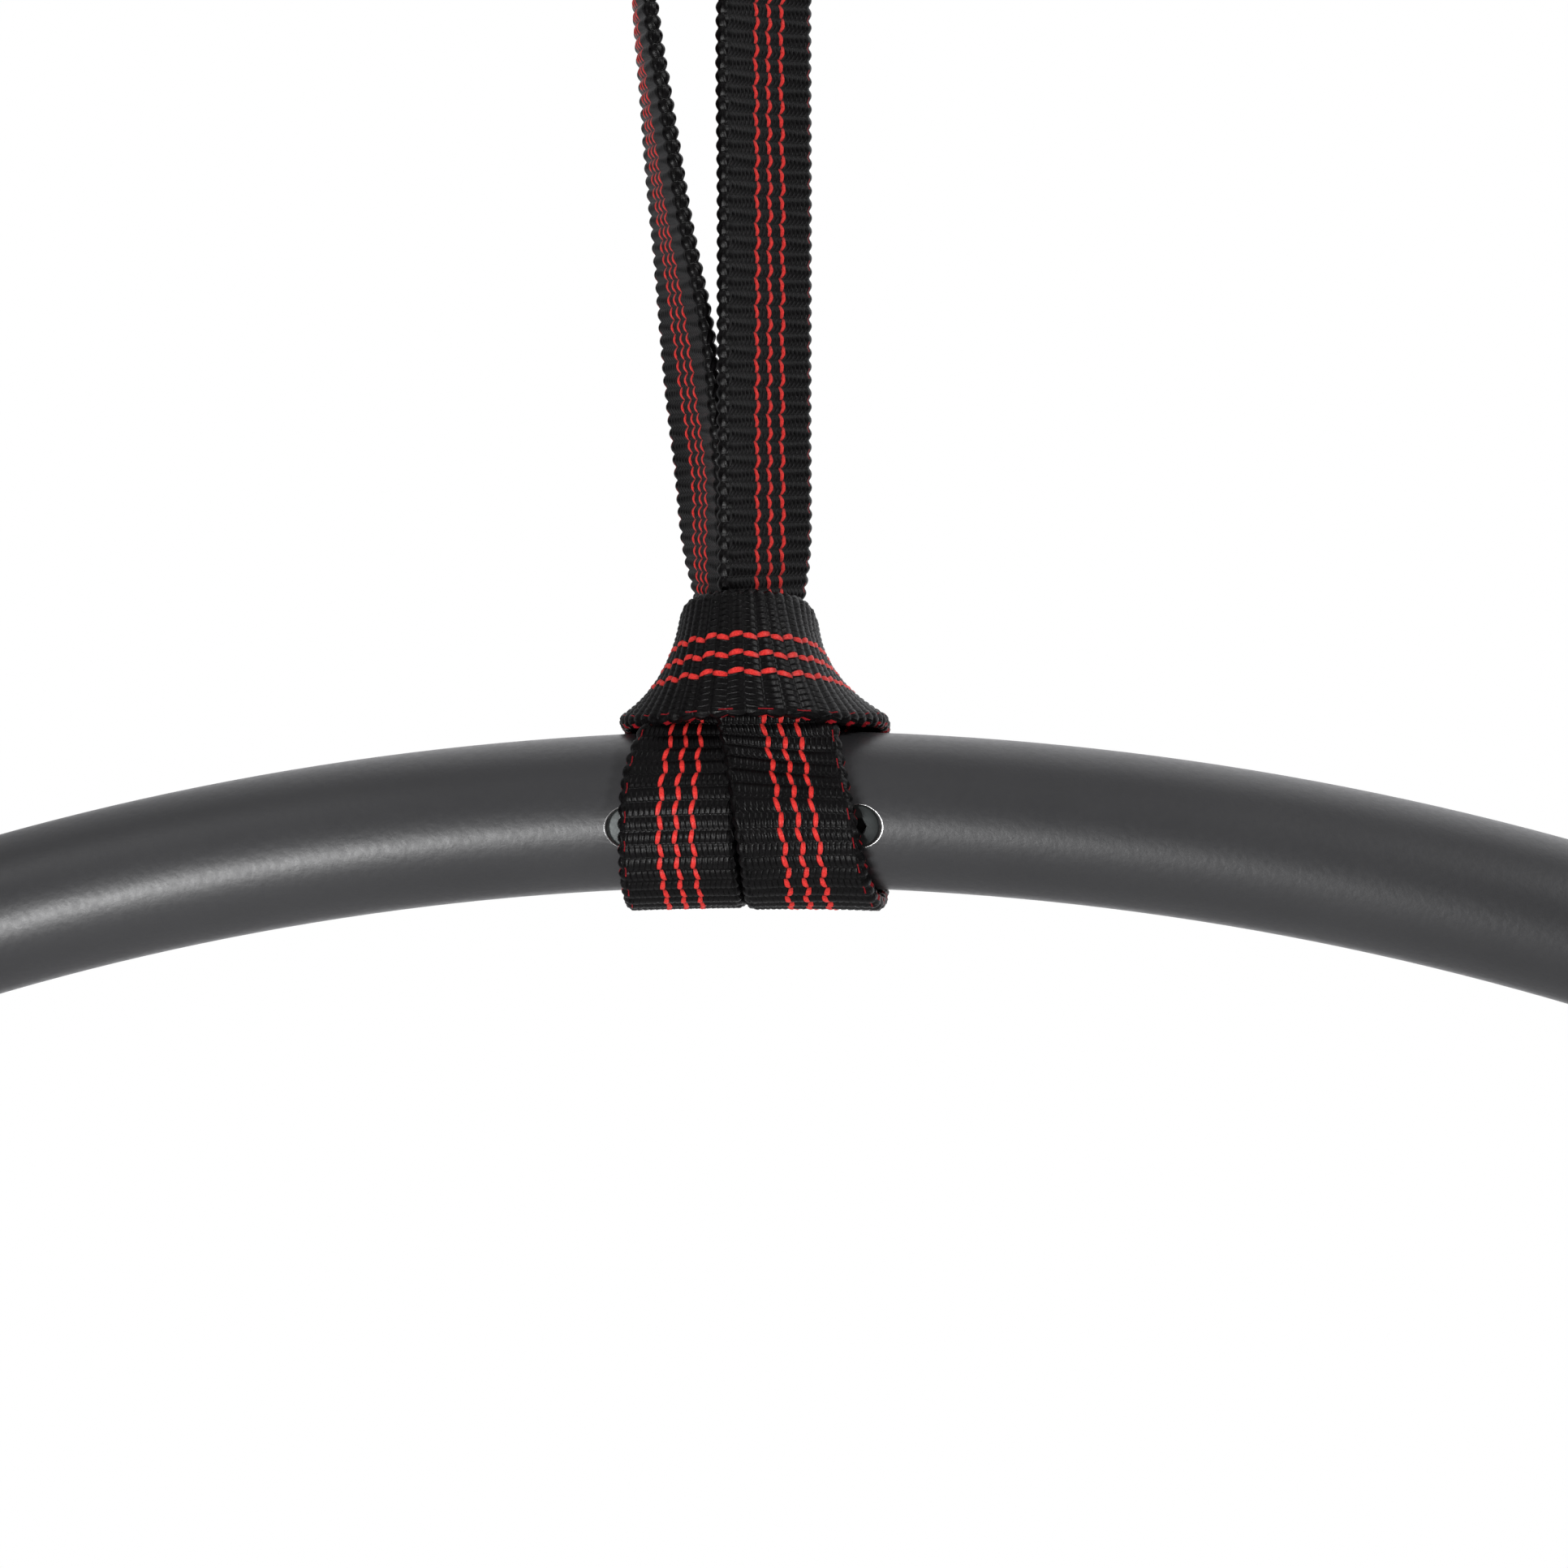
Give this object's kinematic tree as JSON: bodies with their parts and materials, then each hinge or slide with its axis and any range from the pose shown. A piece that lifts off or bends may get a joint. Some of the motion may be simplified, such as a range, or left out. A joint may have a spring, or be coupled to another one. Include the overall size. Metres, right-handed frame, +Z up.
{
  "type": "hoop swing",
  "caption": "Round steel hoop seat hung by a girth-hitched webbing sling from a screw-gate carabiner and a ball-bearing swivel.",
  "frame": {"origin": "centre of the swivel's upper eye, where the swing is hung", "axes": "+Z up, -Y towards the side that shows the sling's collar, +X to the right of it; the hoop lies in the XZ plane"},
  "size_m": [0.949, 0.0582, 1.3084],
  "materials": {
    "powder_coat": "satin powder coat, fine orange peel",
    "steel": "machined",
    "black_screw": "black oxide",
    "webbing": "woven polyester strap, black with three red lines",
    "red_thread": "sewn bar tack",
    "alloy": "polished",
    "dark_alloy": "dark anodised"
  },
  "bodies": {
    "swivel_top": {"swivel_upper_eye": "alloy", "swivel_housing_race": "steel", "swivel_retaining_ring": "dark_alloy"},
    "ball_cage": {"swivel_ball_cage": "steel"},
    "swivel_bottom": {"swivel_lower_eye": "alloy", "swivel_shaft_race": "steel", "swivel_shaft_nut": "steel"},
    "carabiner": {"carabiner_body": "alloy", "gate_hinge_pin": "steel"},
    "gate": {"carabiner_gate": "dark_alloy", "gate_latch_pin": "steel", "gate_plunger": "steel", "gate_spring": "steel"},
    "lock": {"lock_sleeve": "dark_alloy"},
    "sling": {"sling_webbing": "webbing", "splice_tack_lower": "red_thread", "splice_tack_middle": "red_thread", "splice_tack_upper": "red_thread"},
    "hoop": {"hoop_left_half": "powder_coat", "hoop_right_half": "powder_coat", "joint_sleeve_top": "steel", "joint_sleeve_bottom": "steel", "screw_top_left": "black_screw", "screw_top_right": "black_screw", "screw_bottom_left": "black_screw", "screw_bottom_right": "black_screw"}
  },
  "joints": [
    {"name": "swivel_spin", "type": "hinge", "parent": "swivel_top", "child": "swivel_bottom", "pos_m": [0, 0, -0.03], "axis": [0, 0, 1], "continuous": true},
    {"name": "cage_spin", "type": "hinge", "parent": "swivel_top", "child": "ball_cage", "pos_m": [0, 0, -0.03], "axis": [0, 0, 1], "continuous": true},
    {"name": "carabiner_swing", "type": "hinge", "parent": "swivel_bottom", "child": "carabiner", "pos_m": [0, 0, -0.0651], "axis": [0, 1, 0], "range_deg": [-60, 60]},
    {"name": "gate_open", "type": "hinge", "parent": "carabiner", "child": "gate", "pos_m": [0, -0.023, -0.0901], "axis": [1, 0, 0], "range_deg": [0, 25], "stiffness_Nm_per_rad": 0.12, "springref_deg": -20.05},
    {"name": "lock_travel", "type": "slide", "parent": "gate", "child": "lock", "axis": [0, 0, -1], "range_m": [0, 0.0145]},
    {"name": "sling_swing", "type": "hinge", "parent": "carabiner", "child": "sling", "pos_m": [0, 0, -0.1551], "axis": [0, 1, 0], "range_deg": [-60, 60]},
    {"name": "hoop_rock", "type": "hinge", "parent": "sling", "child": "hoop", "pos_m": [0, 0, -0.3551], "axis": [1, 0, 0], "range_deg": [-60, 60]}
  ],
  "couplings": [
    {"joint": "cage_spin", "follows": "swivel_spin", "ratio": 0.5}
  ]
}
